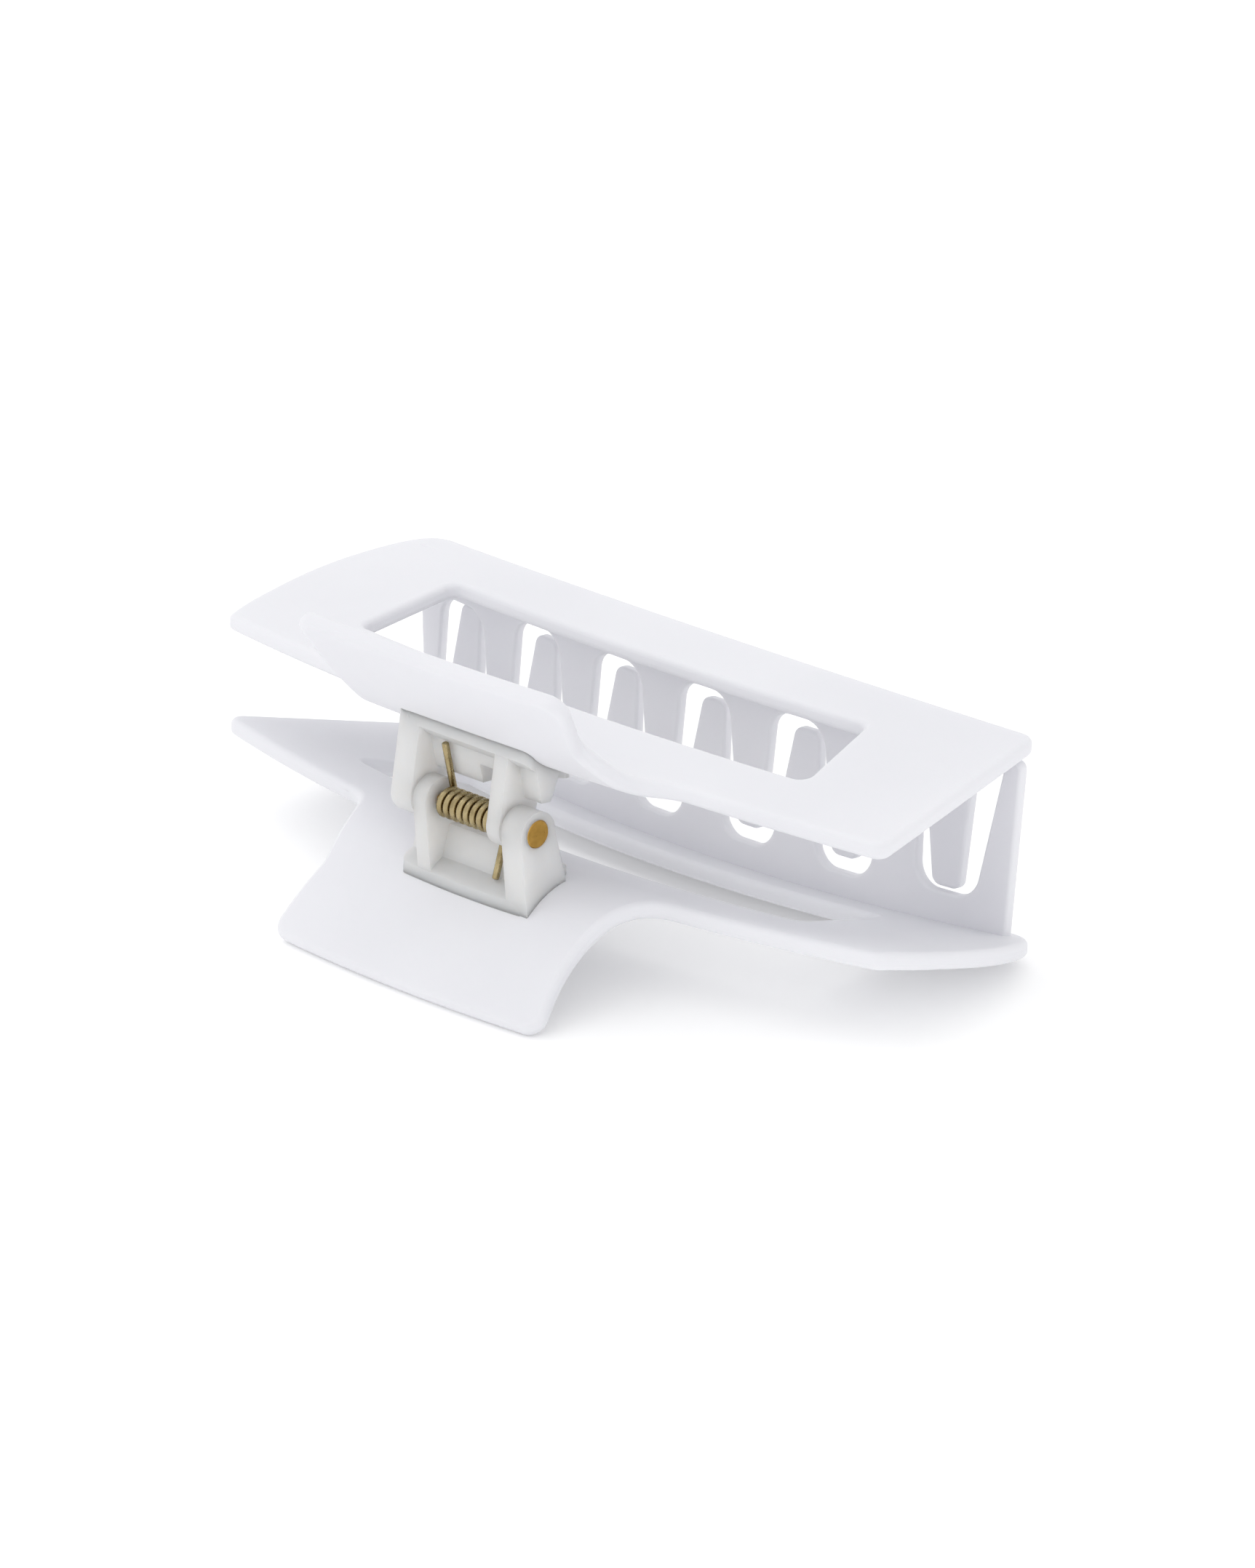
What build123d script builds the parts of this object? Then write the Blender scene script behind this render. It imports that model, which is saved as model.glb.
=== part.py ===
from build123d import *
import math
import os

os.makedirs("parts", exist_ok=True)

# Hair claw clip, closed, resting on a table.  Millimetres and degrees.
# The upper jaw is the lower one turned half a turn about the clip's
# front-to-back axis through the pin; only its thumb tab is set differently.

# ---------------------------------------------------------------- dimensions
HALF_LEN = 50.0        # half of the length of a jaw's front edge
PLATE_T = 1.9          # thickness of plates and thumb tabs
WALL_T = 1.3           # thickness of the toothed wall
GAP_HALF = 4.6         # pin axis to the inner face of a plate, carried to y = 0
WEDGE = 11.0           # each plate opens away from the mid-plane by this angle
BOW_R = 220.0          # radius of the bowed plates
BARREL = 10.0          # the bow leans, so that the jaws close in a little at the ends
FRONT_Y = 5.3          # front edge of the plate at mid-length
BACK_Y = 34.4          # back edge of the plate at mid-length
BACK_BOW = 0.0018      # back edge and wall: y grows by this times x squared
WIN_Y0, WIN_Y1 = 13.4, 26.4      # window, front and back edge at mid-length
WIN_L0, WIN_L1 = -33.9, -30.3    # window's left corners, front and back
WIN_R0, WIN_R1 = 33.9, 33.2      # window's right corners, front and back
# thumb tabs, each in its own jaw's frame: inner edge of the tip (y, z), left and
# right ends of the tip, left and right side where the tab leaves the plate
LOWER_TAB = (-9.7, -17.5, -20.6, 22.0, -19.6, 19.4)
UPPER_TAB = (-10.5, -18.5, -24.4, 16.6, -20.4, 17.6)
TAB_CORNER = 2.0       # rounding of the tip's two corners
PITCH = 13.5           # tooth pitch
TOOTH_OFF = -37.4      # centre of the leftmost tooth
WALL_Y = 31.4          # inner face of the wall at mid-length
WALL_LEAN = 4.0        # the wall leans back by this angle
WALL_RIGHT = 45.2      # right-hand end of the wall
GAP_FLOOR = (3.4, 3.1, 2.9, 2.9, 3.0, 3.0, 4.1)   # wall left under the gaps, left to right
TOOTH_TIP = 6.4        # tooth tips stand this far past the mid-plane
END_TIP = 9.2          # end tooth, which reaches almost to the other plate
TOOTH_L, TOOTH_R = 1.85, 3.0      # tooth edges left and right of its centre
SLOPE_L, SLOPE_R = 0.15, 0.06    # taper of those edges, per mm of height
SLIT = 2.6             # slit beside the end tooth

PIN_D = 1.6            # shank of the hinge pin
PIN_HEAD_D = 3.1
PIN_HEAD_T = 0.9
HINGE_X = 1.2          # the hinge sits this far right of the clip's middle
RUN = 0.05             # radial running clearance of the pin in the moving lugs
LUG_R = 2.4            # radius of the rounded lug ends
LUG_OUT = (6.9, 10.0)  # outer lug, from and to, off the hinge's middle
LUG_IN = (4.65, 6.6)   # inner lug, from and to
BASE_T = 1.0           # thickness of the bracket's base
BASE_Y0, BASE_Y1 = -1.6, 5.6
BASE_HALF = 9.7

WIRE = 0.8             # spring wire
COIL_R = 1.36          # mean radius of the coil
COIL_HALF = 4.1        # half length of the coil, wire centres
TURNS = 8.5

# resting lean: the back of the closed clip hangs lower than the tabs' root
REST_LEAN = 7.22
PIN_Y = -13.7449       # where the pin's axis lies above the table
PIN_Z = 17.2122

# -------------------------------------------------------------------- planes
cl, sl = math.cos(math.radians(REST_LEAN)), math.sin(math.radians(REST_LEAN))
BACK_DIR = Vector(0, cl, -sl)      # clip +y, from the pin to the wall
UP_DIR = Vector(0, sl, cl)         # clip +z
PIN = Vector(0, PIN_Y, PIN_Z)
PLAN = Plane(origin=PIN, x_dir=(1, 0, 0), z_dir=UP_DIR)       # u = x, v = y
SIDE = Plane(origin=PIN, x_dir=BACK_DIR, z_dir=(1, 0, 0))     # u = y, v = z
FRONT = Plane(origin=PIN, x_dir=(1, 0, 0), z_dir=-BACK_DIR)   # u = x, v = z
BOW_C = PIN + BACK_DIR * (FRONT_Y + BOW_R)         # centre of the plates' bow
ca, sa = math.cos(math.radians(BARREL)), math.sin(math.radians(BARREL))
BOW_UP = UP_DIR * ca - BACK_DIR * sa       # the lower jaw's ends also rise a little
BOW_C = PIN + (BACK_DIR * ca + UP_DIR * sa) * (FRONT_Y + BOW_R)
BOW_AXIS = Axis(BOW_C, BOW_UP)
FLIP = Axis(PIN, BACK_DIR)
HINGE_FLIP = Axis(PIN + Vector(HINGE_X, 0, 0), BACK_DIR)


def turned(angle):
    """the side plane, turned about the axis of the bow"""
    spin = Axis((0, 0, 0), BOW_UP)
    return Plane(origin=BOW_C + (PIN - BOW_C).rotate(spin, angle),
                 x_dir=BACK_DIR.rotate(spin, angle),
                 z_dir=Vector(1, 0, 0).rotate(spin, angle))



tan_w = math.tan(math.radians(WEDGE))
cos_w = math.cos(math.radians(WEDGE))
sin_w = math.sin(math.radians(WEDGE))


def plate_z(y):
    """inner face of the lower plate"""
    return -(GAP_HALF + y * tan_w)


# inner line of the section: plate, crest over the tab's root, thumb tab
P_BACK = (BACK_Y + 12.0, plate_z(BACK_Y + 12.0))
P_CREST = (7.5, plate_z(7.5))
P_ROOT = (-0.3, -8.0)
P_TIP = LOWER_TAB[:2]


def bow(x, y, k):
    return (x, y + k * x * x)


K = 1.0 / (2.0 * BOW_R)

# ------------------------------------------------------- toothed wall (blank)
base_z = plate_z(WALL_Y)
root_z = base_z - 0.9
floors = [base_z + g for g in GAP_FLOOR]
centres = [TOOTH_OFF + i * PITCH for i in range(6)]     # the six full teeth


def left_x(c, z):
    return c - TOOTH_L + SLOPE_L * z


def right_x(c, z):
    return c + TOOTH_R - SLOPE_R * z


# the comb, seen from the front, from its lower right corner round to the left
end_c = -TOOTH_OFF + TOOTH_L + SLIT        # left edge of the end tooth at z = 0
comb_pts = [(left_x(centres[0], root_z), root_z - 0.5), (WALL_RIGHT, root_z - 0.5),
            (WALL_RIGHT, END_TIP), (end_c + SLOPE_L * END_TIP, END_TIP),
            (end_c + SLOPE_L * floors[6], floors[6])]
for i, c in reversed(list(enumerate(centres))):
    comb_pts += [(right_x(c, floors[i + 1]), floors[i + 1]), (right_x(c, TOOTH_TIP), TOOTH_TIP),
                 (left_x(c, TOOTH_TIP), TOOTH_TIP)]
    if i > 0:
        comb_pts += [(left_x(c, floors[i]), floors[i])]

with BuildPart() as wall:
    with BuildSketch(PLAN.offset(root_z)) as band:
        with BuildLine():
            q0 = bow(-44.0, WALL_Y - 0.4, BACK_BOW)
            q1 = bow(WALL_RIGHT + 1, WALL_Y - 0.4, BACK_BOW)
            q2 = bow(WALL_RIGHT + 1, WALL_Y - 0.4 + WALL_T, BACK_BOW)
            q3 = bow(-44.0, WALL_Y - 0.4 + WALL_T, BACK_BOW)
            ThreePointArc(q0, (0, WALL_Y - 0.4), q1)
            Line(q1, q2)
            ThreePointArc(q2, (0, WALL_Y - 0.4 + WALL_T), q3)
            Line(q3, q0)
        make_face()
    lean = math.radians(WALL_LEAN)
    extrude(amount=30, dir=BACK_DIR * math.sin(lean) + UP_DIR * math.cos(lean))
    with BuildSketch(FRONT) as comb:
        with BuildLine():
            Polyline(*comb_pts, close=True)
        make_face()
        fillet(comb.vertices().filter_by(lambda v: base_z + 2 < v.Y < base_z + 5), 2.7)
        fillet(comb.vertices().filter_by(lambda v: abs(v.Y - TOOTH_TIP) < 0.01), 1.1)
        fillet(comb.vertices().filter_by(lambda v: abs(v.Y - END_TIP) < 0.01), 1.0)
    extrude(amount=60, both=True, mode=Mode.INTERSECT)
    # soft edges on the teeth and in the gaps, front and back
    edges = wall.edges().filter_by(
        lambda e: abs(SIDE.to_local_coords(e.center()).Y) < 12 and e.length > WALL_T + 0.25
        and SIDE.to_local_coords(e.center()).Y > root_z - 0.2)
    print("wall", wall.part.volume, wall.part.is_valid, len(edges))
    fillet(edges, 0.35)
    print("wall", wall.part.volume, wall.part.is_valid)

# --------------------------------------------------------------------- jaws
def jaw(tip_y, tip_z, tip_l, tip_r, root_l, root_r):
    """a jaw the way the lower one lies, with its thumb tab set as given"""
    with BuildPart() as body:
        with BuildSketch(turned(-17)) as prof:
            with BuildLine():
                ln = Line(P_BACK, P_CREST)
                a1 = TangentArc(P_CREST, P_ROOT, tangent=(-cos_w, sin_w))
                a2 = TangentArc(P_ROOT, (tip_y, tip_z), tangent=a1 % 1)
                offset(amount=PLATE_T, side=Side.LEFT, closed=True)
            make_face()
        revolve(axis=BOW_AXIS, revolution_arc=34)
        # plan outline: bowed plate with the thumb tab in front of it
        with BuildSketch(PLAN) as outline:
            with BuildLine():
                fl = bow(-HALF_LEN, FRONT_Y, K)
                fr = bow(HALF_LEN, FRONT_Y, K)
                bl = bow(-45.6, BACK_Y, BACK_BOW)
                br = bow(42.6, BACK_Y, BACK_BOW)
                # thumb tab, flaring out of the plate's front edge
                end_y = tip_y - 6.0
                slope_r = (tip_r - root_r) / (tip_y + 0.5)
                slope_l = (tip_l - root_l) / (tip_y + 0.5)
                tab_r = [bow(root_r + 5.6, FRONT_Y, K), (root_r + 1.6, 4.0), (root_r, -0.5),
                         (root_r + slope_r * (end_y + 0.5), end_y)]
                tab_l = [bow(root_l - 5.6, FRONT_Y, K), (root_l - 1.6, 4.0), (root_l, -0.5),
                         (root_l + slope_l * (end_y + 0.5), end_y)]
                ThreePointArc(fl, bow((fl[0] + tab_l[0][0]) / 2, FRONT_Y, K), tab_l[0])
                Spline(*tab_l, tangents=[(1.0, 2 * K * tab_l[0][0]), (-slope_l, -1.0)])
                Line(tab_l[-1], tab_r[-1])
                Spline(*tab_r[::-1], tangents=[(slope_r, 1.0), (1.0, 2 * K * tab_r[0][0])])
                ThreePointArc(tab_r[0], bow((fr[0] + tab_r[0][0]) / 2, FRONT_Y, K), fr)
                Spline(fr, (51.6, 18.6), (51.5, 26.2), (49.2, 33.4), br,
                       tangents=[(0.5, 1.0), (-1.0, -0.12)])
                ThreePointArc(br, (0, BACK_Y), bl)
                Line(bl, fl)
            make_face()
            fillet(outline.vertices().filter_by(lambda v: abs(v.X) > 45), 1.6)
        extrude(amount=40, both=True, mode=Mode.INTERSECT)
        # round the two tip corners of the thumb tab
        mid = (tip_l + tip_r) / 2
        tip_edges = body.edges().filter_by(
            lambda e: (SIDE.to_local_coords(e.center()).X < -6.5
                       and abs(e.center().X - mid) > 15
                       and abs(e.length - PLATE_T) < 0.5))
        print("tip corners", len(tip_edges))
        fillet(tip_edges, TAB_CORNER)
        # window
        with BuildSketch(PLAN) as window:
            with BuildLine():
                w1 = bow(WIN_L0, WIN_Y0, K)
                w2 = bow(WIN_R0, WIN_Y0, K)
                w3 = bow(WIN_R1, WIN_Y1, K)
                w4 = bow(WIN_L1, WIN_Y1, K)
                ThreePointArc(w1, (0, WIN_Y0), w2)
                Line(w2, w3)
                ThreePointArc(w3, (0, WIN_Y1), w4)
                Line(w4, w1)
            make_face()
            fillet(window.vertices(), 1.2)
        extrude(amount=40, both=True, mode=Mode.SUBTRACT)
        print("before soft edges", body.part.volume, len(body.edges()))
        # soft moulded edges all round the plate, the tab and the window
        rim = body.edges().filter_by(lambda e: e.length > PLATE_T + 0.3)
        fillet(rim, 0.7)
        print("plate", body.part.volume, body.part.is_valid)
        add(wall.part)
        print("jaw", body.part.volume, body.part.is_valid, len(body.solids()))
    return body.part


lower_blank = jaw(*LOWER_TAB)
upper_blank = jaw(*UPPER_TAB).rotate(FLIP, 180)

with BuildPart() as lower_jaw:
    add(lower_blank)

lower_jaw.part.label = "lower_jaw"
export_step(lower_jaw.part, "parts/lower_jaw.step")

with BuildPart() as upper_jaw:
    add(upper_blank)

upper_jaw.part.label = "upper_jaw"
export_step(upper_jaw.part, "parts/upper_jaw.step")

# ------------------------------------------- hinge bracket (blank, both alike)
with BuildPart() as bracket:
    # base, lying over the root of the thumb tab; what it sinks into the jaw is cut off later
    for side, thick in ((Side.RIGHT, BASE_T), (Side.LEFT, 0.6)):
        with BuildSketch(turned(-5)):
            with BuildLine():
                Line((P_BACK[0] - 20, plate_z(P_BACK[0] - 20)), P_CREST)
                a1 = TangentArc(P_CREST, P_ROOT, tangent=(-cos_w, sin_w))
                a2 = TangentArc(P_ROOT, P_TIP, tangent=a1 % 1)
                offset(amount=thick, side=side, closed=True)
            make_face()
        revolve(axis=BOW_AXIS, revolution_arc=10)
    with BuildSketch(PLAN) as base_out:
        with BuildLine():
            p0 = (HINGE_X - BASE_HALF, BASE_Y0 + 0.3)
            p1 = (HINGE_X + BASE_HALF, BASE_Y0 + 0.3)
            p2 = (HINGE_X + BASE_HALF + 0.4, BASE_Y1)
            p3 = (HINGE_X - BASE_HALF - 0.4, BASE_Y1)
            ThreePointArc(p0, (HINGE_X, BASE_Y0), p1)
            Spline(p1, (HINGE_X + BASE_HALF - 0.9, 1.4), (HINGE_X + BASE_HALF - 1.1, 3.2), p2)
            Line(p2, p3)
            Spline(p3, (HINGE_X - BASE_HALF + 1.1, 3.2), (HINGE_X - BASE_HALF + 0.9, 1.4), p0)
        make_face()
        fillet(base_out.vertices(), 0.8)
    extrude(amount=20, both=True, mode=Mode.INTERSECT)
    # lugs: the right-hand one outside, the left-hand one inside
    for x0, x1 in (LUG_OUT, (-LUG_IN[1], -LUG_IN[0])):
        with BuildSketch(SIDE.offset(HINGE_X + x0)):
            Circle(LUG_R)
            with BuildLine():
                Polyline((-LUG_R, 0), (LUG_R, 0), (4.4, -6.6), (-1.2, -9.4), close=True)
            make_face()
        extrude(amount=x1 - x0)
    # web between the lugs, behind the spring's leg
    with BuildSketch(SIDE.offset(HINGE_X - BASE_HALF + 0.5)):
        with BuildLine():
            Polyline((1.15, -2.9), (2.45, -2.9), (3.9, -6.8), (-0.1, -7.8), close=True)
        make_face()
    extrude(amount=2 * BASE_HALF - 1.0)
    print("bracket", bracket.part.volume, bracket.part.is_valid, len(bracket.solids()))

with BuildPart() as lower_hinge_bracket:
    add(bracket.part)
    add(lower_jaw.part, mode=Mode.SUBTRACT)
    with BuildSketch(SIDE.offset(-20)):
        Circle(PIN_D / 2)
    extrude(amount=40, mode=Mode.SUBTRACT)
    with BuildSketch(SIDE.offset(HINGE_X + LUG_OUT[1] - PIN_HEAD_T)):
        Circle(PIN_HEAD_D / 2)
    extrude(amount=5, mode=Mode.SUBTRACT)

with BuildPart() as upper_hinge_bracket:
    add(bracket.part.rotate(HINGE_FLIP, 180))
    add(upper_jaw.part, mode=Mode.SUBTRACT)
    # notch in the web, beside the spring's leg
    with BuildSketch(SIDE.offset(HINGE_X + 0.3)):
        with BuildLine():
            Polyline((-3, 2.0), (6, 2.0), (6, 5.0), (-3, 5.0), close=True)
        make_face()
    extrude(amount=4.2, mode=Mode.SUBTRACT)
    with BuildSketch(SIDE.offset(-20)):
        Circle(PIN_D / 2 + RUN)
    extrude(amount=40, mode=Mode.SUBTRACT)

# ---------------------------------------------------------------- hinge pin
with BuildPart() as hinge_pin:
    with BuildSketch(SIDE.offset(HINGE_X - LUG_OUT[1] + 0.1)):
        Circle(PIN_D / 2)
    extrude(amount=2 * LUG_OUT[1] - 0.1)
    with BuildSketch(SIDE.offset(HINGE_X + LUG_OUT[1] - PIN_HEAD_T)):
        Circle(PIN_HEAD_D / 2)
    extrude(amount=PIN_HEAD_T)
    chamfer(hinge_pin.edges().group_by(Axis.X)[-1], 0.15)

# ------------------------------------------------------------ torsion spring
LEG_TILT = 15.0
lt = math.radians(LEG_TILT)
start_dir = BACK_DIR * math.cos(lt) + UP_DIR * math.sin(lt)
turns = 8 + 2 * LEG_TILT / 360
pitch_w = 2 * COIL_HALF / turns
coil_plane = Plane(origin=PIN + Vector(HINGE_X - COIL_HALF, 0, 0), x_dir=start_dir, z_dir=(1, 0, 0))
coil_line = coil_plane * Helix(pitch_w, 2 * COIL_HALF, COIL_R, lefthand=True)
print("coil ends", coil_line @ 0 - PIN, coil_line @ 1 - PIN)
with BuildPart() as torsion_spring:
    for at, way, length in ((0, -1, 6.3), (1, 1, 6.3)):
        p = coil_line @ at
        d = coil_line % at
        d = Vector(0, d.Y * way, d.Z * way).normalized()    # legs stay square to the pin
        with BuildSketch(Plane(origin=p - d * 0.7, z_dir=d)):
            Circle(WIRE / 2 - 0.01)
        extrude(amount=length + 0.7)
    with BuildSketch(Plane(origin=coil_line @ 0, z_dir=coil_line % 0)) as wire_sec:
        Circle(WIRE / 2)
    sweep(wire_sec.sketch, path=coil_line, is_frenet=True)
    print("spring", torsion_spring.part.volume, torsion_spring.part.is_valid, len(torsion_spring.solids()))

for node, solid in (("lower_hinge_bracket", lower_hinge_bracket),
                    ("upper_hinge_bracket", upper_hinge_bracket),
                    ("hinge_pin", hinge_pin), ("torsion_spring", torsion_spring)):
    solid.part.label = node
    export_step(solid.part, "parts/" + node + ".step")

everything = Compound(children=[lower_jaw.part, upper_jaw.part])
bb = everything.bounding_box()
print("box", bb.min, bb.max)
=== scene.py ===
import bpy, math
from mathutils import Vector, Matrix


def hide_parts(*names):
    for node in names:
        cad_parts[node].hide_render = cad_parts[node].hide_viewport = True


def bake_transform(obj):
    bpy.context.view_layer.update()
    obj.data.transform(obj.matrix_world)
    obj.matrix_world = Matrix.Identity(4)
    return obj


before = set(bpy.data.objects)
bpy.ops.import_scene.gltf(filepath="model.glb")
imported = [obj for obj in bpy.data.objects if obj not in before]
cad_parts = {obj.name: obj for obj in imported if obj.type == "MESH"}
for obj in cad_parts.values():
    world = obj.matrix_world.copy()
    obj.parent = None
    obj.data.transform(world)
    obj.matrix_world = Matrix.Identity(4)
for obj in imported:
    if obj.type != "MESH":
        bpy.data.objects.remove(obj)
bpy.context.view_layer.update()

MM = 0.001

# ------------------------------------------------------------------ materials


def mat(name):
    m = bpy.data.materials.new(name)
    m.use_nodes = True
    nt = m.node_tree
    nt.nodes.clear()
    out = nt.nodes.new("ShaderNodeOutputMaterial")
    b = nt.nodes.new("ShaderNodeBsdfPrincipled")
    nt.links.new(b.outputs["BSDF"], out.inputs["Surface"])
    return m, nt, b


def noise(nt, scale, detail=4.0, rough=0.5, stretch=None):
    tc = nt.nodes.new("ShaderNodeTexCoord")
    mp = nt.nodes.new("ShaderNodeMapping")
    if stretch:
        mp.inputs["Scale"].default_value = stretch
    nt.links.new(tc.outputs["Object"], mp.inputs["Vector"])
    n = nt.nodes.new("ShaderNodeTexNoise")
    n.inputs["Scale"].default_value = scale
    n.inputs["Detail"].default_value = detail
    n.inputs["Roughness"].default_value = rough
    nt.links.new(mp.outputs["Vector"], n.inputs["Vector"])
    return n


def ramp(nt, src, stops):
    r = nt.nodes.new("ShaderNodeValToRGB")
    e = r.color_ramp.elements
    while len(e) < len(stops):
        e.new(0.5)
    for k, (p, c) in enumerate(stops):
        e[k].position = p
        e[k].color = (c[0], c[1], c[2], 1.0)
    nt.links.new(src, r.inputs["Fac"])
    return r


def rng(nt, src, lo, hi, a=0.3, b=0.7):
    r = nt.nodes.new("ShaderNodeMapRange")
    r.inputs["From Min"].default_value = a
    r.inputs["From Max"].default_value = b
    r.inputs["To Min"].default_value = lo
    r.inputs["To Max"].default_value = hi
    nt.links.new(src, r.inputs["Value"])
    return r


def bump(nt, srcs, b):
    last = None
    for src, strength, dist in srcs:
        n = nt.nodes.new("ShaderNodeBump")
        n.inputs["Strength"].default_value = strength
        n.inputs["Distance"].default_value = dist
        nt.links.new(src, n.inputs["Height"])
        if last:
            nt.links.new(last.outputs["Normal"], n.inputs["Normal"])
        last = n
    nt.links.new(last.outputs["Normal"], b.inputs["Normal"])


# soft-touch white plastic: fine matte grain, a faint mould waviness, a trace of
# uneven gloss where fingers have polished it
white, nt, b = mat("soft_white")
tone = noise(nt, 35.0, 3.0)
col = ramp(nt, tone.outputs["Fac"], [(0.30, (0.745, 0.748, 0.782)), (0.72, (0.778, 0.781, 0.812))])
nt.links.new(col.outputs["Color"], b.inputs["Base Color"])
rub = noise(nt, 110.0, 5.0, 0.6)
nt.links.new(rng(nt, rub.outputs["Fac"], 0.46, 0.60).outputs["Result"], b.inputs["Roughness"])
grain = noise(nt, 5200.0, 2.0, 0.6)
wave = noise(nt, 90.0, 2.0, 0.4)
bump(nt, [(wave.outputs["Fac"], 0.10, 0.0006), (grain.outputs["Fac"], 0.22, 0.00004)], b)
b.inputs["IOR"].default_value = 1.46
b.inputs["Specular IOR Level"].default_value = 0.35
b.inputs["Subsurface Weight"].default_value = 0.30
b.inputs["Subsurface Radius"].default_value = (1.0, 0.9, 0.95)
b.inputs["Subsurface Scale"].default_value = 0.0020
b.inputs["Sheen Weight"].default_value = 0.10
b.inputs["Sheen Roughness"].default_value = 0.5

# frosted translucent polycarbonate of the hinge brackets
frost, nt, b = mat("frosted")
cl = noise(nt, 160.0, 3.0)
col = ramp(nt, cl.outputs["Fac"], [(0.30, (0.935, 0.912, 0.885)), (0.70, (0.978, 0.962, 0.938))])
nt.links.new(col.outputs["Color"], b.inputs["Base Color"])
fr = noise(nt, 420.0, 4.0)
nt.links.new(rng(nt, fr.outputs["Fac"], 0.36, 0.54).outputs["Result"], b.inputs["Roughness"])
fg = noise(nt, 3600.0, 2.0)
bump(nt, [(fg.outputs["Fac"], 0.20, 0.00004)], b)
b.inputs["IOR"].default_value = 1.49
b.inputs["Transmission Weight"].default_value = 0.30
b.inputs["Subsurface Weight"].default_value = 0.85
b.inputs["Subsurface Radius"].default_value = (1.0, 0.92, 0.86)
b.inputs["Subsurface Scale"].default_value = 0.0035

# brass rivet: turned face with fine rings, drawn here only as fine noise in tone, roughness and
# bump
brass, nt, b = mat("pin_brass")
tn = noise(nt, 900.0, 4.0)
col = ramp(nt, tn.outputs["Fac"], [(0.28, (0.42, 0.24, 0.05)), (0.74, (0.58, 0.34, 0.08))])
nt.links.new(col.outputs["Color"], b.inputs["Base Color"])
rr = noise(nt, 1500.0, 3.0)
nt.links.new(rng(nt, rr.outputs["Fac"], 0.26, 0.44).outputs["Result"], b.inputs["Roughness"])
bump(nt, [(rr.outputs["Fac"], 0.25, 0.00003)], b)
b.inputs["Metallic"].default_value = 1.0

# drawn spring wire, pale brass, with fine marks of the drawing die
wire, nt, b = mat("spring_brass")
tn = noise(nt, 700.0, 3.0)
col = ramp(nt, tn.outputs["Fac"], [(0.28, (0.30, 0.235, 0.12)), (0.74, (0.47, 0.385, 0.215))])
nt.links.new(col.outputs["Color"], b.inputs["Base Color"])
sc = noise(nt, 2600.0, 3.0, 0.6, (0.25, 1.0, 1.0))
nt.links.new(rng(nt, sc.outputs["Fac"], 0.20, 0.36).outputs["Result"], b.inputs["Roughness"])
bump(nt, [(sc.outputs["Fac"], 0.20, 0.00002)], b)
b.inputs["Metallic"].default_value = 1.0

looks = {"lower_jaw": white, "upper_jaw": white, "lower_hinge_bracket": frost,
         "upper_hinge_bracket": frost, "hinge_pin": brass, "torsion_spring": wire}
for node, m in looks.items():
    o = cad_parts[node]
    if o.material_slots:
        for s in o.material_slots:
            s.material = m
    else:
        o.data.materials.append(m)

# ------------------------------------------------------------- torsion spring
# middle of the coil and the clip's own axes
PIN = Vector((1.2, -13.7449, 17.2122)) * MM
LEAN = math.radians(7.22)
BACK = Vector((0, math.cos(LEAN), -math.sin(LEAN)))
UP = Vector((0, math.sin(LEAN), math.cos(LEAN)))
COIL_R, COIL_HALF, WIRE_R, LEG = 1.36 * MM, 4.1 * MM, 0.39 * MM, 6.3 * MM
TILT = math.radians(15.0)


def around(x, phi, r):
    return PIN + Vector((x, 0, 0)) + (BACK * math.cos(phi) + UP * math.sin(phi)) * r


turn_total = 2 * math.pi * 8 + 2 * TILT
path = []
n = 280
for k in range(n + 1):
    t = k / n
    path.append(around(-COIL_HALF + 2 * COIL_HALF * t, TILT - turn_total * t, COIL_R))
d0 = -BACK * math.sin(TILT) + UP * math.cos(TILT)
d1 = -BACK * math.sin(TILT) - UP * math.cos(TILT)
up_leg = [path[0] + d0 * LEG * s for s in (1.0, 0.75, 0.5, 0.25, 0.08)]
down_leg = [path[-1] + d1 * LEG * s for s in (0.08, 0.25, 0.5, 0.75, 1.0)]
path = up_leg + path + down_leg

SIDES = 14
verts, faces = [], []
tang = []
for k in range(len(path)):
    a = path[max(k - 1, 0)]
    c = path[min(k + 1, len(path) - 1)]
    tang.append((c - a).normalized())
nrm = tang[0].orthogonal().normalized()
rings = []


def ring(centre, t, nv, r):
    bn = t.cross(nv).normalized()
    first = len(verts)
    for s in range(SIDES):
        a = 2 * math.pi * s / SIDES
        verts.append(centre + (nv * math.cos(a) + bn * math.sin(a)) * r)
    return first


for k, p in enumerate(path):
    nrm = (nrm - tang[k] * nrm.dot(tang[k])).normalized()
    if k == 0:
        rings.append(ring(p, tang[k], nrm, WIRE_R * 0.72))
        rings.append(ring(p + tang[k] * WIRE_R * 0.25, tang[k], nrm, WIRE_R))
    elif k == len(path) - 1:
        rings.append(ring(p - tang[k] * WIRE_R * 0.25, tang[k], nrm, WIRE_R))
        rings.append(ring(p, tang[k], nrm, WIRE_R * 0.72))
    else:
        rings.append(ring(p, tang[k], nrm, WIRE_R))
for a, c in zip(rings, rings[1:]):
    for s in range(SIDES):
        e = (s + 1) % SIDES
        faces.append((a + s, a + e, c + e, c + s))
faces.append(tuple(rings[0] + s for s in range(SIDES))[::-1])
faces.append(tuple(rings[-1] + s for s in range(SIDES)))
me = bpy.data.meshes.new("spring_wire")
me.from_pydata([tuple(v) for v in verts], [], faces)
me.validate()
me.update()
for p in me.polygons:
    p.use_smooth = len(p.vertices) == 4
spring = bpy.data.objects.new("spring_wire", me)
bpy.context.scene.collection.objects.link(spring)
me.materials.append(wire)
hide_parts("torsion_spring")
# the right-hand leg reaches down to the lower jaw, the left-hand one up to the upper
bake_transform(spring)

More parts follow.
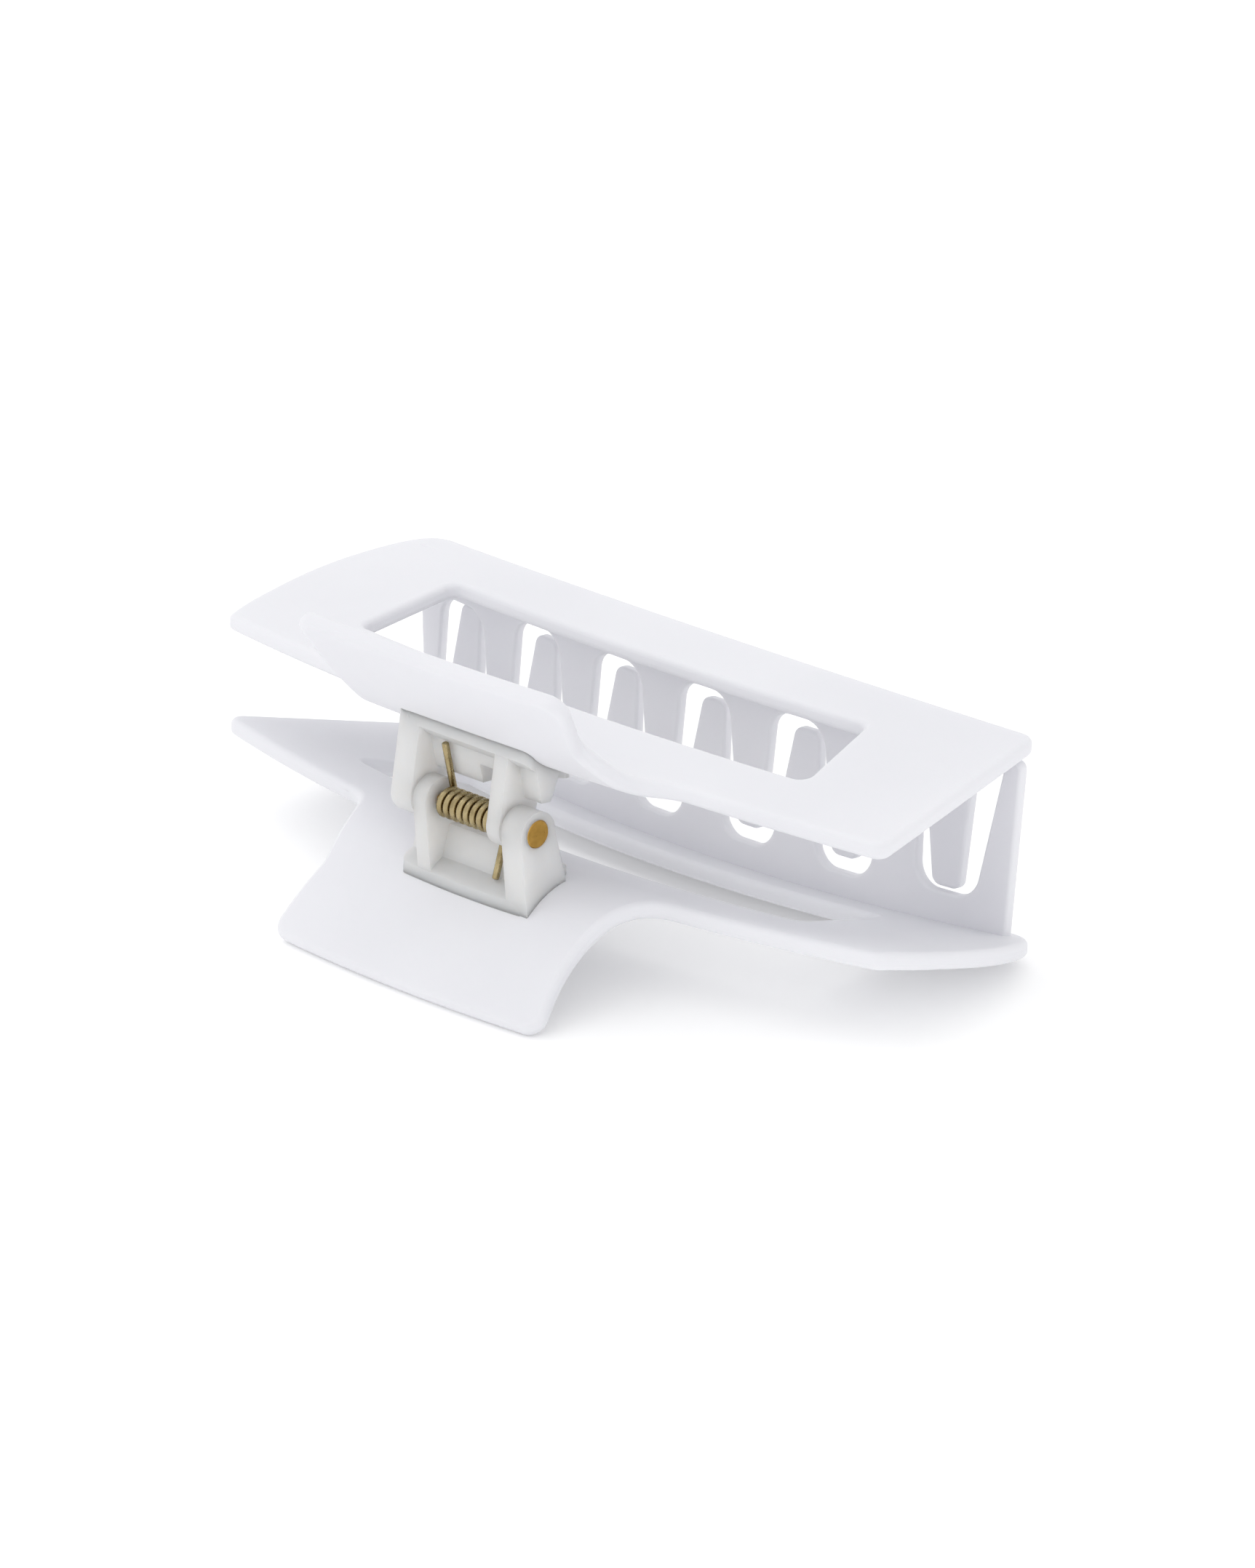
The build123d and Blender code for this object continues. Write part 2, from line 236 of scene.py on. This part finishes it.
# -------------------------------------------------------------- floor, lights
bm = bpy.data.meshes.new("floor")
S = 3.0
bm.from_pydata([(-S, -S, 0), (S, -S, 0), (S, S, 0), (-S, S, 0)], [], [(0, 1, 2, 3)])
floor = bpy.data.objects.new("floor", bm)
bpy.context.scene.collection.objects.link(floor)
fm, nt, b = mat("floor_paper")
fn = noise(nt, 60.0, 3.0)
col = ramp(nt, fn.outputs["Fac"], [(0.3, (0.930, 0.930, 0.932)), (0.7, (0.945, 0.945, 0.947))])
nt.links.new(col.outputs["Color"], b.inputs["Base Color"])
b.inputs["Roughness"].default_value = 0.95
b.inputs["Specular IOR Level"].default_value = 0.0
b.inputs["Emission Color"].default_value = (1.0, 1.0, 1.0, 1.0)
b.inputs["Emission Strength"].default_value = 0.14
bm.materials.append(fm)

w = bpy.data.worlds.new("studio")
bpy.context.scene.world = w
w.use_nodes = True
w.node_tree.nodes["Background"].inputs["Color"].default_value = (1.0, 1.0, 1.0, 1)
w.node_tree.nodes["Background"].inputs["Strength"].default_value = 0.98


def area(name, pos, target, size, power, colour=(1, 1, 1)):
    l = bpy.data.lights.new(name, "AREA")
    l.shape = "RECTANGLE"
    l.size, l.size_y = size
    l.energy = power
    l.color = colour
    o = bpy.data.objects.new(name, l)
    bpy.context.scene.collection.objects.link(o)
    o.location = pos
    o.rotation_euler = (Vector(pos) - Vector(target)).to_track_quat("Z", "Y").to_euler()
    return o


area("key", (-0.35, -0.10, 0.75), (0, 0, 0.01), (0.7, 0.7), 1.1)
area("fill", (0.75, -0.75, 0.45), (0, 0, 0.01), (0.8, 0.6), 0.35)

# --------------------------------------------------------------------- camera
AZ, EL, ROLL = math.radians(47.527), math.radians(23.328), math.radians(-3.671)
TX, TY, DIST, FPX = -7.103 * MM, 1.681 * MM, 900.17 * MM, 11743.4
back = Vector((math.sin(AZ) * math.cos(EL), -math.cos(AZ) * math.cos(EL), math.sin(EL)))
right = Vector((math.cos(AZ), math.sin(AZ), 0))
up = back.cross(right)
r2 = right * math.cos(ROLL) + up * math.sin(ROLL)
u2 = -right * math.sin(ROLL) + up * math.cos(ROLL)
cam = bpy.data.cameras.new("camera")
co = bpy.data.objects.new("camera", cam)
bpy.context.scene.collection.objects.link(co)
m3 = Matrix((r2, u2, back)).transposed()
loc = Vector((0, 0, 17 * MM)) - r2 * TX - u2 * TY + back * DIST
bpy.context.scene.view_settings.view_transform = "Standard"
co.matrix_world = Matrix.Translation(loc) @ m3.to_4x4()
cam.sensor_fit = "VERTICAL"
cam.sensor_height = 36.0
cam.lens = FPX * 36.0 / 2156.0
cam.clip_start = 0.05
cam.clip_end = 20.0
bpy.context.scene.camera = co
